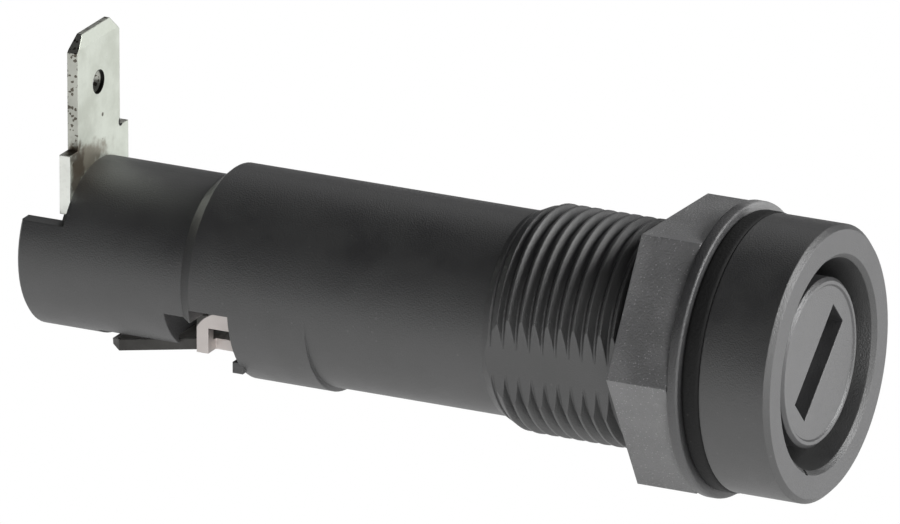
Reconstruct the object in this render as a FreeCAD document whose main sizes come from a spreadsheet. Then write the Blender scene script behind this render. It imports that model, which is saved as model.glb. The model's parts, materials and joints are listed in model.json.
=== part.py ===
import FreeCAD, Part
import math
import os
import re
import Sketcher

# Panel-mounted holder for a 6.3 x 32 mm cartridge fuse, with its nut, washer, gasket, fuse carrier
# and fuse. Millimetres. The axis of the holder is Y, the knob faces -Y, the rear tab points up (+Z),
# and the origin is the centre of the bezel's rear face, which seats on the panel.

# Driving dimensions, written once and read from the sheet by every sub-part.
SIZES = {
    # How far cutting tools run past what they cut, and joined pieces into each other
    "overrun": 1.0,
    # Fuse
    "fuse_length": 31.8,
    "fuse_cap_radius": 3.175,
    "fuse_cap_length": 6.35,
    "fuse_cap_wall": 0.2,
    "glass_wall": 0.8,
    "glass_gap": 0.03,
    "element_radius": 0.12,
    "solder_radius": 1.7,
    "solder_length": 0.9,
    # Contact cups and the fits round them
    "cup_wall": 0.4,
    "cup_gap": 0.11,
    "cup_grip_length": 6.2,
    "cup_slit": 0.6,
    "cup_slit_length": 4.6,
    "flange_gap": 0.15,
    "flange_thickness": 0.6,
    "running_gap": 0.1,
    "rear_cup_base": 0.6,
    "contact_gap": 0.05,
    # Bezel and its mouth
    "bezel_overhang": 1.72,
    "bezel_length": 5.2,
    "bezel_edge": 0.35,
    "mouth_gap": 1.45,
    "mouth_depth": 4.2,
    "mouth_edge": 0.3,
    "mouth_taper": 0.65,
    "index_width": 0.5,
    "index_depth": 0.35,
    "index_turned": 26.4,
    # Threaded barrel
    "barrel_wall": 1.85,
    "barrel_length": 17.8,
    "lead_in_length": 1.7,
    "thread_pitch": 1.0,
    "thread_depth": 0.6,
    "thread_root_width": 0.15,
    "thread_start": 1.3,
    "thread_clearance": 0.05,
    "thread_flank": 30.0,
    "flat_below_root": 0.06,
    "flat_turn": 6.7,
    # Mid body and rear body
    "bore_side_gap": 0.1,
    "mid_step": 0.8,
    "mid_length": 22.65,
    "pad_length": 8.95,
    "pad_drop": 0.35,
    "shoulder_length": 1.15,
    "rear_wall": 2.25,
    "rear_length": 12.8,
    "rear_edge": 0.2,
    "rear_side_gap": 0.215,
    "bore_end_wall": 0.55,
    # Window and channel for the side terminal
    "window_step_inset": 0.15,
    "window_front_length": 3.15,
    "window_front_top": 1.1,
    "window_rear_length": 2.55,
    "window_rear_top": 2.2,
    "spur_length": 0.6,
    "spur_width": 0.8,
    "spur_height": 0.8,
    "spur_aside": 4.4,
    "spur_top": 5.1,
    "spur_root": 0.2,
    "channel_depth_gap": 0.6,
    "channel_side_gap": 0.2,
    "channel_run_out": 0.5,
    # Rear seat and notch for the rear terminal
    "terminal_inset": 3.3,
    "seat_wall": 1.0,
    "seat_gap": 0.25,
    "notch_height": 2.85,
    "nib_grip": 0.4,
    "nib_length": 0.6,
    "nib_height": 1.6,
    # Panel hardware
    "gasket_width": 1.8,
    "gasket_thickness": 1.35,
    "gasket_gap": 0.1,
    "washer_width": 2.35,
    "washer_thickness": 0.85,
    "washer_gap": 0.15,
    "nut_wall": 1.0,
    "nut_length": 4.5,
    "nut_turned": 1.6,
    "nut_bore_gap": 0.08,
    "nut_lead_in": 0.4,
    # Knob and bayonet
    "knob_gap": 0.2,
    "knob_face_inset": 0.65,
    "knob_edge": 0.25,
    "knob_rim_width": 0.6,
    "knob_rim_depth": 0.12,
    "knob_wall": 1.45,
    "knob_face_thickness": 3.0,
    "slot_length": 8.1,
    "slot_width": 2.3,
    "slot_depth": 1.9,
    "slot_turned": 42.0,
    "lug_width": 2.0,
    "lug_length": 1.5,
    "lug_start": 3.0,
    "lug_height": 0.75,
    "lug_root": 0.4,
    "groove_gap": 0.2,
    "lock_angle": 60.0,
    "retainer_length": 1.2,
    "retainer_gap": 0.03,
    # Spring and rivets
    "spring_wire": 0.7,
    "spring_side_gap": 0.15,
    "spring_turns": 8.0,
    "spring_end_turns": 1.0,
    "spring_end_pitch": 1.2,
    "rivet_shank_radius": 1.0,
    "rivet_hole_radius": 0.55,
    "rivet_head_radius": 1.9,
    "rivet_head_thickness": 0.6,
    "rivet_head_chamfer": 0.2,
    "rivet_set_radius": 1.6,
    "rivet_set_thickness": 0.5,
    # Rear terminal
    "terminal_thickness": 0.8,
    "neck_half_width": 3.7,
    "shoulder_half_width": 4.4,
    "shoulder_top": 7.65,
    "shoulder_height": 4.3,
    "blade_half_width": 3.15,
    "blade_tip": 15.87,
    "blade_corner": 1.1,
    "blade_bevel": 0.9,
    "blade_bevel_depth": 0.2,
    "blade_hole_radius": 0.83,
    "blade_hole_height": 11.8,
    # Side terminal with its spring finger
    "strip_gap": 0.68,
    "strip_bend_inset": 0.15,
    "strip_turn_down": 10.0,
    "strip_blade_length": 8.75,
    "strip_hole_inset": 3.9,
    "window_lug_gap": 0.33,
    "window_lug_clearance": 0.2,
    "window_lug_start": 0.45,
    "window_lug_end": 1.0,
    "window_lug_bottom": 3.3,
    "window_lug_neck": 0.9,
    "strip_front_gap": 4.0,
    "strip_floor_gap": 0.02,
    "strip_rivet_inset": 3.0,
    "finger_thickness": 0.3,
    "finger_half_width": 2.0,
    "finger_overlap": 5.4,
    "finger_ramp": 4.2,
    "finger_crest": 0.8,
    "finger_tail": 1.2,
    "finger_tail_drop": 0.4,
    "finger_contact_station": 3.8,
    "side_rivet_radius": 0.8,
    "side_head_radius": 1.25,
    "side_head_thickness": 0.4,
    "floor_margin": 0.85,
    "floor_lead": 0.8,
    "floor_thickness": 2.0,
}

NODE_FOLDER = "parts"
FULL_TURN = 360
HALF_TURN = 180
HEXAGON_SIDES = 6
QUARTERS = 4
TURN_STEP = 1e-4
ALONG_Y = FreeCAD.Rotation(FreeCAD.Vector(1, 0, 0), -90)

# Radii and distances from the axis that follow from the driving dimensions, as expressions.
CUP_INNER = "(fuse_cap_radius + cup_gap)"
CUP_OUTER = f"({CUP_INNER} + cup_wall)"
GLASS_RADIUS = "(fuse_cap_radius - fuse_cap_wall - glass_gap)"
STRIP_TOP = f"({CUP_OUTER} + strip_gap)"
STRIP_BOTTOM = f"({STRIP_TOP} + terminal_thickness)"
BORE_RADIUS = f"(sqrt({STRIP_BOTTOM} ^ 2 + blade_half_width ^ 2) + bore_side_gap)"
BARREL_RADIUS = f"({BORE_RADIUS} + barrel_wall)"
BEZEL_RADIUS = f"({BARREL_RADIUS} + bezel_overhang)"
MID_RADIUS = f"({BARREL_RADIUS} - mid_step)"
REAR_BORE = f"({CUP_OUTER} + rear_side_gap)"
REAR_RADIUS = f"({REAR_BORE} + rear_wall)"
SEAT_RADIUS = f"({REAR_RADIUS} - seat_wall)"
DISC_RADIUS = f"({SEAT_RADIUS} - seat_gap)"
KNOB_RADIUS = f"({BORE_RADIUS} - knob_gap)"
MOUTH_RADIUS = f"({KNOB_RADIUS} + mouth_gap)"
SKIRT_INNER = f"({KNOB_RADIUS} - knob_wall)"
FLANGE_RADIUS = f"({SKIRT_INNER} - flange_gap)"
THREAD_ROOT = f"({BARREL_RADIUS} - thread_depth)"
FLAT_DISTANCE = f"({THREAD_ROOT} - flat_below_root)"
NUT_BORE = f"({THREAD_ROOT} + nut_bore_gap)"
NUT_HALF_WIDTH = f"({BARREL_RADIUS} + nut_wall)"

# Stations along the axis, from the panel seat to the rear, as expressions.
THREAD_END = "(barrel_length - lead_in_length)"
MID_END = "(barrel_length + mid_length)"
REAR_START = f"({MID_END} + shoulder_length)"
REAR_END = f"({REAR_START} + rear_length)"
MOUTH_FLOOR = "(mouth_depth - bezel_length)"
BORE_END = f"({MID_END} - bore_end_wall)"
PLATE_FRONT = f"({REAR_END} - terminal_inset)"
PLATE_REAR = f"({PLATE_FRONT} + terminal_thickness)"
REAR_CUP_FRONT = f"({PLATE_FRONT} - rear_cup_base)"
CONTACT_FACE = f"({REAR_CUP_FRONT} - rivet_set_thickness)"
FUSE_REAR = f"({CONTACT_FACE} - contact_gap)"
FUSE_FRONT = f"({FUSE_REAR} - fuse_length)"
FLANGE_FRONT = f"({FUSE_FRONT} - flange_thickness)"
RETAINER_FRONT = f"({FUSE_FRONT} + running_gap)"
SKIRT_END = f"({RETAINER_FRONT} + retainer_length)"
KNOB_FACE = "(knob_face_inset - bezel_length)"
KNOB_INNER_FACE = f"({KNOB_FACE} + knob_face_thickness)"
NUT_FRONT = "(gasket_thickness + washer_thickness)"
NUT_REAR = f"({NUT_FRONT} + nut_length)"
WINDOW_STEP = f"({MID_END} + window_step_inset)"
WINDOW_FRONT = f"({WINDOW_STEP} - window_front_length)"
CONTACT_STATION = f"({FUSE_FRONT} + finger_contact_station)"
STRIP_FRONT = f"({CONTACT_STATION} + strip_front_gap)"
STRIP_BEND = f"({MID_END} - strip_bend_inset)"
STRIP_RIVET = f"({STRIP_FRONT} + strip_rivet_inset)"

doc = FreeCAD.newDocument("FuseHolder")


def write_sheet():
    """Write every driving dimension to the sheet: its name, its value and the value's alias."""
    sheet = doc.addObject("Spreadsheet::Sheet", "Sizes")
    for row, (name, size) in enumerate(SIZES.items(), start=1):
        sheet.set(f"A{row}", name)
        sheet.set(f"B{row}", repr(size))
        sheet.setAlias(f"B{row}", name)
    doc.recompute()


def sheet_value(name):
    """Read one driving dimension back from the sheet."""
    return float(doc.Sizes.get(name))


def bind(text):
    """Put the sheet's name before each of its aliases in an expression."""
    return re.sub(r"[a-z_]+", lambda word: prefixed(word.group(0)), text)


def prefixed(word):
    """Name a driving dimension the way an expression reads it, and leave other words alone."""
    return f"Sizes.{word}" if word in SIZES else word


def drive(item, **bindings):
    """Bind properties of an object to expressions on the sheet."""
    for name, text in bindings.items():
        item.setExpression(name.replace("__", "."), bind(text))


def place(item, along_x="0", along_y="0", along_z="0"):
    """Bind an object's place to three expressions."""
    drive(item, Placement__Base__x=along_x, Placement__Base__y=along_y, Placement__Base__z=along_z)


def box(name, low, size):
    """Make a box from its low corner and its size, each three expressions."""
    item = doc.addObject("Part::Box", name)
    drive(item, Length=size[0], Width=size[1], Height=size[2])
    place(item, *low)
    return item


def rod(name, radius, start, length, across="0", height="0"):
    """Make a cylinder along Y that starts at a station."""
    item = doc.addObject("Part::Cylinder", name)
    item.Placement = FreeCAD.Placement(FreeCAD.Vector(), ALONG_Y)
    drive(item, Radius=radius, Height=length)
    place(item, across, start, height)
    return item


def pin(name, radius, centre, length):
    """Make a cylinder along Z that stands on a point."""
    item = doc.addObject("Part::Cylinder", name)
    drive(item, Radius=radius, Height=length)
    place(item, *centre)
    return item


def join(name, pieces):
    """Fuse several pieces into one."""
    item = doc.addObject("Part::MultiFuse", name)
    item.Shapes = pieces
    return item


def cut(name, base, tools):
    """Cut one or more tools out of a base."""
    item = doc.addObject("Part::Cut", name)
    item.Base = base
    item.Tool = tools[0] if len(tools) == 1 else join(f"{name}_tools", tools)
    return item


def common(name, first, second):
    """Keep what two pieces share."""
    item = doc.addObject("Part::Common", name)
    item.Base = first
    item.Tool = second
    return item


def origin_feature(body, role):
    """Find one of a body's own origin planes or axes."""
    return next(item for item in body.Origin.OriginFeatures if item.Role == role)


def new_sketch(body, name, role):
    """Add a sketch on one of a body's origin planes."""
    sketch = body.newObject("Sketcher::SketchObject", name)
    sketch.AttachmentSupport = [(origin_feature(body, role), "")]
    sketch.MapMode = "FlatFace"
    return sketch


def tie(sketch, line, across, up):
    """Bind the first end of a line to two expressions, measured from the sketch's origin."""
    for kind, axis, text in (("DistanceX", -2, across), ("DistanceY", -1, up)):
        if text == "0":
            sketch.addConstraint(Sketcher.Constraint("PointOnObject", line, 1, axis))
            continue
        index = sketch.addConstraint(Sketcher.Constraint(kind, -1, 1, line, 1, 1.0 + line))
        sketch.setExpression(f"Constraints[{index}]", bind(text))


def closed_outline(sketch, corners):
    """Draw a closed outline of straight lines whose corners are pairs of expressions."""
    count = len(corners)
    turns = [math.tau * k / count for k in range(count)]
    ring = [FreeCAD.Vector(math.cos(turn), math.sin(turn), 0) for turn in turns]
    for k in range(count):
        sketch.addGeometry(Part.LineSegment(ring[k], ring[(k + 1) % count]), False)
    for k in range(count):
        sketch.addConstraint(Sketcher.Constraint("Coincident", k, 2, (k + 1) % count, 1))
    for k, (across, up) in enumerate(corners):
        tie(sketch, k, across, up)


def turned(name, corners):
    """Revolve an outline of (station, radius) corners about the Y axis."""
    body = doc.addObject("PartDesign::Body", name)
    sketch = new_sketch(body, f"{name}_profile", "YZ_Plane")
    closed_outline(sketch, corners)
    turn = body.newObject("PartDesign::Revolution", f"{name}_turn")
    turn.Profile = sketch
    turn.ReferenceAxis = (sketch, ["H_Axis"])
    turn.Angle = FULL_TURN
    return body


def extruded(name, role, corners, length):
    """Pad an outline evenly to both sides of an origin plane."""
    body = doc.addObject("PartDesign::Body", name)
    sketch = new_sketch(body, f"{name}_profile", role)
    closed_outline(sketch, corners)
    pad = body.newObject("PartDesign::Pad", f"{name}_pad")
    pad.Profile = sketch
    pad.Midplane = True
    drive(pad, Length=length)
    return body


def cut_thread(body, name, corners, length):
    """Cut a right-hand helical groove of a given outline into a body, towards the rear."""
    sketch = new_sketch(body, f"{name}_profile", "YZ_Plane")
    closed_outline(sketch, corners)
    thread = body.newObject("PartDesign::SubtractiveHelix", name)
    thread.Profile = sketch
    thread.ReferenceAxis = (origin_feature(body, "Y_Axis"), [""])
    thread.Mode = "pitch-height-angle"
    drive(thread, Pitch="thread_pitch", Height=length)
    return thread


def make_body_outside():
    """Make the outside of the moulded holder with its thread, before its bores."""
    body = turned("body_outside", [
        ("-bezel_length", "0"),
        ("-bezel_length", f"{BEZEL_RADIUS} - bezel_edge"),
        ("bezel_edge - bezel_length", BEZEL_RADIUS),
        ("0", BEZEL_RADIUS),
        ("0", BARREL_RADIUS),
        (THREAD_END, BARREL_RADIUS),
        ("barrel_length", MID_RADIUS),
        (MID_END, MID_RADIUS),
        (REAR_START, REAR_RADIUS),
        (f"{REAR_END} - rear_edge", REAR_RADIUS),
        (REAR_END, f"{REAR_RADIUS} - rear_edge"),
        (REAR_END, "0"),
    ])
    outer = "(thread_depth + thread_clearance)"
    half_root = "thread_root_width / 2"
    half_mouth = f"(thread_root_width / 2 + {outer} * tan(thread_flank))"
    cut_thread(body, "barrel_thread", [
        (f"thread_start - {half_mouth}", f"{THREAD_ROOT} + {outer}"),
        (f"thread_start - {half_root}", THREAD_ROOT),
        (f"thread_start + {half_root}", THREAD_ROOT),
        (f"thread_start + {half_mouth}", f"{THREAD_ROOT} + {outer}"),
    ], f"{THREAD_END} - thread_start + lead_in_length + thread_pitch / 2")
    return body


def make_body_hollow():
    """Make the space inside the holder: mouth, carrier bore, fuse bore and the rear seat."""
    return turned("body_hollow", [
        ("-bezel_length - bezel_edge", "0"),
        ("-bezel_length - bezel_edge", f"{MOUTH_RADIUS} + mouth_edge + bezel_edge"),
        ("mouth_edge - bezel_length", MOUTH_RADIUS),
        (MOUTH_FLOOR, f"{MOUTH_RADIUS} - mouth_taper"),
        (MOUTH_FLOOR, BORE_RADIUS),
        (BORE_END, BORE_RADIUS),
        (BORE_END, REAR_BORE),
        (PLATE_FRONT, REAR_BORE),
        (PLATE_FRONT, SEAT_RADIUS),
        (f"{REAR_END} + rear_edge", SEAT_RADIUS),
        (f"{REAR_END} + rear_edge", "0"),
    ])


def turned_about_y(item, angle, placed=FreeCAD.Rotation()):
    """Turn an object about the holder's axis, by the right-hand rule about +Y."""
    turn = FreeCAD.Rotation(FreeCAD.Vector(0, 1, 0), angle)
    item.Placement = FreeCAD.Placement(FreeCAD.Vector(), turn.multiply(placed))


def barrel_flat(name, sign):
    """Make the tool that cuts one of the two flats along the thread: sign "" on the right, "-" left."""
    tool = doc.addObject("Part::Box", name)
    turned_about_y(tool, (HALF_TURN if sign else 0) - sheet_value("flat_turn"))
    drive(tool, Length="thread_depth + overrun", Width="barrel_length", Height=f"2 * {BARREL_RADIUS}")
    place(
        tool,
        f"{sign}({FLAT_DISTANCE} * cos(flat_turn) + {BARREL_RADIUS} * sin(flat_turn))",
        "0",
        f"{sign}({FLAT_DISTANCE} * sin(flat_turn) - {BARREL_RADIUS} * cos(flat_turn))",
    )
    return tool


def make_holder_body():
    """Make the one-piece moulded body: bezel, threaded barrel, mid body and notched rear tube."""
    outside = make_body_outside()
    flats = [barrel_flat("flat_right", ""), barrel_flat("flat_left", "-")]
    flatted = cut("body_flatted", outside, flats)
    pad = rod("body_pad", MID_RADIUS, f"{MID_END} - pad_length", "pad_length", height="-pad_drop")
    solid = join("body_solid", [flatted, pad])
    wide = f"(4 * {MID_RADIUS})"
    deep = f"(2 * {MID_RADIUS})"
    window_front = box(
        "window_front",
        (f"-{wide} / 2", WINDOW_FRONT, f"-window_front_top - {deep}"),
        (wide, "window_front_length", deep),
    )
    window_rear = box(
        "window_rear",
        (f"-{wide} / 2", WINDOW_STEP, f"-window_rear_top - {deep}"),
        (wide, "window_rear_length", deep),
    )
    channel_top = f"({REAR_BORE} + channel_depth_gap)"
    channel_half = "(blade_half_width + channel_side_gap)"
    channel_end = f"({STRIP_BEND} + strip_blade_length + channel_run_out)"
    channel = box(
        "blade_channel",
        (f"-{channel_half}", WINDOW_STEP, f"-{channel_top} - {deep}"),
        (f"2 * {channel_half}", f"{channel_end} - {WINDOW_STEP}", deep),
    )
    notch = box(
        "rear_notch",
        (f"-{wide} / 2", PLATE_FRONT, "notch_height"),
        (wide, "terminal_inset + overrun", deep),
    )
    hollow = make_body_hollow()
    cutters = [hollow, window_front, window_rear, channel, notch, make_mouth_index()]
    bored = cut("body_bored", solid, cutters)
    floor = make_floor()
    return join("holder_body", [bored, floor, make_spur(), *make_lugs(), *make_nibs()])


def make_mouth_index():
    """Make the tool for the small mark notched in the rim of the mouth, turned from the bottom."""
    mark = doc.addObject("Part::Box", "mouth_index")
    turned_about_y(mark, sheet_value("index_turned"))
    drive(mark, Length="index_width", Width="mouth_depth + overrun", Height="index_depth + overrun")
    reach = f"({MOUTH_RADIUS} + index_depth)"
    place(
        mark,
        f"-index_width / 2 * cos(index_turned) - {reach} * sin(index_turned)",
        "-bezel_length - overrun",
        f"index_width / 2 * sin(index_turned) - {reach} * cos(index_turned)",
    )
    return mark


def make_spur():
    """Make the small spur that stands back from the window's front wall, low on the left."""
    return box(
        "window_spur",
        ("-spur_aside - spur_width", f"{WINDOW_FRONT} - spur_root", "-spur_top - spur_height"),
        ("spur_width", "spur_root + spur_length", "spur_height"),
    )


def make_floor():
    """Make the flat floor inside the bore that the side terminal lies on, pierced for its rivet."""
    start = f"({STRIP_FRONT} - floor_lead)"
    length = f"({WINDOW_FRONT} - {start})"
    half_width = "(blade_half_width + floor_margin)"
    top = f"({STRIP_BOTTOM} + strip_floor_gap)"
    slab = box(
        "floor_slab",
        (f"-{half_width}", start, f"-{top} - floor_thickness"),
        (f"2 * {half_width}", length, "floor_thickness"),
    )
    keep = rod("floor_limit", f"{BORE_RADIUS} + lug_root / 2", start, length)
    clearance = pin(
        "floor_rivet_hole",
        "side_head_radius + channel_side_gap",
        ("0", STRIP_RIVET, f"-{top} - floor_thickness"),
        "floor_thickness + running_gap",
    )
    return cut("body_floor", common("floor_segment", slab, keep), [clearance])


def make_lugs():
    """Make the two bayonet lugs that stand inwards from the carrier bore."""
    low = f"({BORE_RADIUS} - lug_height)"
    rise = "(lug_height + lug_root)"
    upper = box("lug_upper", ("-lug_width / 2", "lug_start", low), ("lug_width", "lug_length", rise))
    lower = box(
        "lug_lower",
        ("-lug_width / 2", "lug_start", f"-{low} - {rise}"),
        ("lug_width", "lug_length", rise),
    )
    return [upper, lower]


def make_nibs():
    """Make the two nibs behind the rear terminal that hold it in its seat."""
    low = f"({SEAT_RADIUS} - nib_grip)"
    rise = "(nib_grip + lug_root)"
    start = f"({PLATE_REAR} + contact_gap)"
    size = (rise, "nib_length", "nib_height")
    right = box("nib_right", (low, start, "-nib_height / 2"), size)
    left = box("nib_left", (f"-{low} - {rise}", start, "-nib_height / 2"), size)
    return [right, left]


def ring(name, start, length, inner, outer):
    """Make a plain ring about the Y axis."""
    end = f"({start} + {length})"
    return turned(name, [(start, inner), (end, inner), (end, outer), (start, outer)])


def make_panel_gasket():
    """Make the soft ring that seals the bezel against the panel."""
    inner = f"{BARREL_RADIUS} + gasket_gap"
    outer = f"{BARREL_RADIUS} + gasket_width"
    return ring("panel_gasket", "0", "gasket_thickness", inner, outer)


def make_panel_washer():
    """Make the washer between the nut and the panel."""
    inner = f"{BARREL_RADIUS} + washer_gap"
    outer = f"{BARREL_RADIUS} + washer_width"
    return ring("panel_washer", "gasket_thickness", "washer_thickness", inner, outer)


def make_panel_nut():
    """Make the hexagon nut with its internal thread in mesh with the barrel."""
    body = turned("nut_blank", [
        (NUT_FRONT, NUT_BORE),
        (f"{NUT_REAR} - nut_lead_in", NUT_BORE),
        (NUT_REAR, f"{NUT_BORE} + nut_lead_in"),
        (NUT_REAR, f"2 * {NUT_HALF_WIDTH}"),
        (NUT_FRONT, f"2 * {NUT_HALF_WIDTH}"),
    ])
    inner = "(nut_bore_gap - thread_clearance)"
    top = "(thread_depth + thread_clearance)"
    centre = "(thread_start - thread_pitch / 2)"
    flat = "(thread_pitch - thread_root_width) / 2"
    half_inner = f"({flat} - {inner} * tan(thread_flank) + thread_clearance)"
    half_top = f"({flat} - thread_depth * tan(thread_flank) + thread_clearance)"
    cut_thread(body, "nut_thread", [
        (f"{centre} - {half_inner}", f"{THREAD_ROOT} + {inner}"),
        (f"{centre} - {half_top}", f"{THREAD_ROOT} + {top}"),
        (f"{centre} + {half_top}", f"{THREAD_ROOT} + {top}"),
        (f"{centre} + {half_inner}", f"{THREAD_ROOT} + {inner}"),
    ], f"{NUT_REAR} - {centre} + thread_pitch / 2")
    hexagon = doc.addObject("Part::Prism", "nut_hexagon")
    hexagon.Polygon = HEXAGON_SIDES
    turned_about_y(hexagon, sheet_value("nut_turned"), ALONG_Y)
    half_side = HALF_TURN / HEXAGON_SIDES
    drive(hexagon, Circumradius=f"{NUT_HALF_WIDTH} / cos({half_side})", Height="nut_length")
    place(hexagon, "0", NUT_FRONT, "0")
    return common("panel_nut", body, hexagon)


def bayonet_cut(index):
    """Make one of the two L-shaped bayonet tracks: a way in from the rear, then a way round."""
    depth_radius = f"({BORE_RADIUS} - lug_height - groove_gap)"
    half = "(lug_width / 2 + groove_gap)"
    start = "(lug_start - groove_gap)"
    width = "(lug_length + 2 * groove_gap)"
    rise = "(lug_height + groove_gap + overrun)"
    low = depth_radius if index == 0 else f"-{depth_radius} - {rise}"
    way_in = box(
        f"track_in_{index}",
        (f"-{half}", start, low),
        (f"2 * {half}", f"{SKIRT_END} - {start} + overrun", rise),
    )
    sector = doc.addObject("Part::Cylinder", f"track_sector_{index}")
    turned_about_y(sector, (-90 if index == 0 else 90) - sheet_value("lock_angle"), ALONG_Y)
    drive(sector, Radius=f"{BORE_RADIUS} + overrun", Height=width, Angle="lock_angle")
    place(sector, "0", start, "0")
    end = doc.addObject("Part::Box", f"track_end_{index}")
    turned_about_y(end, (0 if index == 0 else HALF_TURN) - sheet_value("lock_angle"))
    drive(end, Length=f"2 * {half}", Width=width, Height=f"{BORE_RADIUS} + overrun")
    sign = "" if index == 0 else "-"
    place(end, f"-{sign}{half} * cos(lock_angle)", start, f"-{sign}{half} * sin(lock_angle)")
    core = rod(f"track_core_{index}", depth_radius, f"{start} - overrun", f"{width} + 2 * overrun")
    around = cut(f"track_around_{index}", join(f"track_sweep_{index}", [sector, end]), [core])
    return join(f"track_{index}", [way_in, around])


def make_carrier_knob():
    """Make the knob: slotted face, skirt bored for spring and cup, two bayonet tracks."""
    blank = turned("knob_blank", [
        (f"{KNOB_FACE} + knob_rim_depth", "0"),
        (f"{KNOB_FACE} + knob_rim_depth", f"{KNOB_RADIUS} - knob_rim_width"),
        (KNOB_FACE, f"{KNOB_RADIUS} - knob_rim_width + knob_rim_depth"),
        (KNOB_FACE, f"{KNOB_RADIUS} - knob_edge"),
        (f"{KNOB_FACE} + knob_edge", KNOB_RADIUS),
        (SKIRT_END, KNOB_RADIUS),
        (SKIRT_END, SKIRT_INNER),
        (KNOB_INNER_FACE, SKIRT_INNER),
        (KNOB_INNER_FACE, "0"),
    ])
    slot = doc.addObject("Part::Box", "knob_slot")
    turned_about_y(slot, -sheet_value("slot_turned"))
    drive(slot, Length="slot_length", Width="slot_depth + overrun", Height="slot_width")
    place(
        slot,
        "-slot_length / 2 * cos(slot_turned) + slot_width / 2 * sin(slot_turned)",
        f"{KNOB_FACE} - overrun",
        "-slot_length / 2 * sin(slot_turned) - slot_width / 2 * cos(slot_turned)",
    )
    return cut("carrier_knob", blank, [slot, bayonet_cut(0), bayonet_cut(1)])


def make_cup_retainer():
    """Make the snap ring that keeps the contact cup in the knob's skirt."""
    return ring(
        "cup_retainer",
        RETAINER_FRONT,
        "retainer_length",
        f"{CUP_OUTER} + flange_gap",
        f"{SKIRT_INNER} - retainer_gap",
    )


def cup_slits(name, start, length):
    """Make two crossed slabs that slit a contact cup's wall into four fingers."""
    reach = f"(2 * {CUP_OUTER} + 2 * overrun)"
    flat = box(f"{name}_flat", (f"-{reach} / 2", start, "-cup_slit / 2"), (reach, length, "cup_slit"))
    upright = box(
        f"{name}_upright",
        ("-cup_slit / 2", start, f"-{reach} / 2"),
        ("cup_slit", length, reach),
    )
    return [flat, upright]


def make_front_cup():
    """Make the flanged contact cup that grips the fuse's front cap and slides in the knob's skirt."""
    end = f"({FUSE_FRONT} + cup_grip_length)"
    blank = turned("front_cup_blank", [
        (FLANGE_FRONT, "0"),
        (FLANGE_FRONT, FLANGE_RADIUS),
        (FUSE_FRONT, FLANGE_RADIUS),
        (FUSE_FRONT, CUP_OUTER),
        (end, CUP_OUTER),
        (end, CUP_INNER),
        (FUSE_FRONT, CUP_INNER),
        (FUSE_FRONT, "0"),
    ])
    slits = cup_slits("front_slit", f"{end} - cup_slit_length", "cup_slit_length + overrun")
    return cut("front_contact_cup", blank, slits)


def make_rear_cup():
    """Make the contact cup that grips the fuse's rear cap, riveted to the rear terminal."""
    front = f"({CONTACT_FACE} - cup_grip_length)"
    blank = turned("rear_cup_blank", [
        (front, CUP_INNER),
        (front, CUP_OUTER),
        (PLATE_FRONT, CUP_OUTER),
        (PLATE_FRONT, "rivet_shank_radius"),
        (REAR_CUP_FRONT, "rivet_shank_radius"),
        (REAR_CUP_FRONT, CUP_INNER),
    ])
    slits = cup_slits("rear_slit", f"{front} - overrun", "cup_slit_length + overrun")
    return cut("rear_contact_cup", blank, slits)


def make_rear_rivet():
    """Make the semi-tubular rivet that joins the rear terminal and the rear cup."""
    end = f"({PLATE_REAR} + rivet_head_thickness)"
    return turned("rear_rivet", [
        (CONTACT_FACE, "0"),
        (CONTACT_FACE, "rivet_set_radius"),
        (REAR_CUP_FRONT, "rivet_set_radius"),
        (REAR_CUP_FRONT, "rivet_shank_radius"),
        (PLATE_REAR, "rivet_shank_radius"),
        (PLATE_REAR, "rivet_head_radius"),
        (end, "rivet_head_radius - rivet_head_chamfer"),
        (end, "rivet_hole_radius"),
        (f"{PLATE_FRONT}", "rivet_hole_radius"),
        (f"{PLATE_FRONT}", "0"),
    ])


def make_rear_terminal():
    """Make the rear terminal: a round base in the tube, a shouldered neck and a blade with a hole."""
    bevel = "(blade_bevel_depth)"
    side = extruded("rear_terminal_side", "YZ_Plane", [
        (PLATE_FRONT, f"-{DISC_RADIUS} - overrun"),
        (PLATE_REAR, f"-{DISC_RADIUS} - overrun"),
        (PLATE_REAR, "blade_tip - blade_bevel"),
        (f"{PLATE_REAR} - {bevel}", "blade_tip"),
        (f"{PLATE_FRONT} + {bevel}", "blade_tip"),
        (PLATE_FRONT, "blade_tip - blade_bevel"),
    ], f"4 * {DISC_RADIUS}")
    neck_foot = f"sqrt({DISC_RADIUS} ^ 2 - neck_half_width ^ 2)"
    plate = extruded("rear_terminal_front", "XZ_Plane", [
        ("-neck_half_width", f"{neck_foot} - overrun"),
        ("neck_half_width", f"{neck_foot} - overrun"),
        ("neck_half_width", "shoulder_top - shoulder_height"),
        ("shoulder_half_width", "shoulder_top - shoulder_height"),
        ("shoulder_half_width", "shoulder_top"),
        ("blade_half_width", "shoulder_top"),
        ("blade_half_width", "blade_tip - blade_corner"),
        ("blade_half_width - blade_corner", "blade_tip"),
        ("blade_corner - blade_half_width", "blade_tip"),
        ("-blade_half_width", "blade_tip - blade_corner"),
        ("-blade_half_width", "shoulder_top"),
        ("-shoulder_half_width", "shoulder_top"),
        ("-shoulder_half_width", "shoulder_top - shoulder_height"),
        ("-neck_half_width", "shoulder_top - shoulder_height"),
    ], f"2 * {REAR_END}")
    disc = rod("rear_terminal_disc", DISC_RADIUS, f"-{REAR_END}", f"2 * {REAR_END}")
    blank = common("rear_terminal_blank", side, join("rear_terminal_outline", [plate, disc]))
    before = f"{PLATE_FRONT} - overrun"
    through = "terminal_thickness + 2 * overrun"
    hole = rod("rear_blade_hole", "blade_hole_radius", before, through, height="blade_hole_height")
    rivet_hole = rod("rear_rivet_hole", "rivet_shank_radius", before, through)
    return cut("rear_terminal", blank, [hole, rivet_hole])


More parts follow.
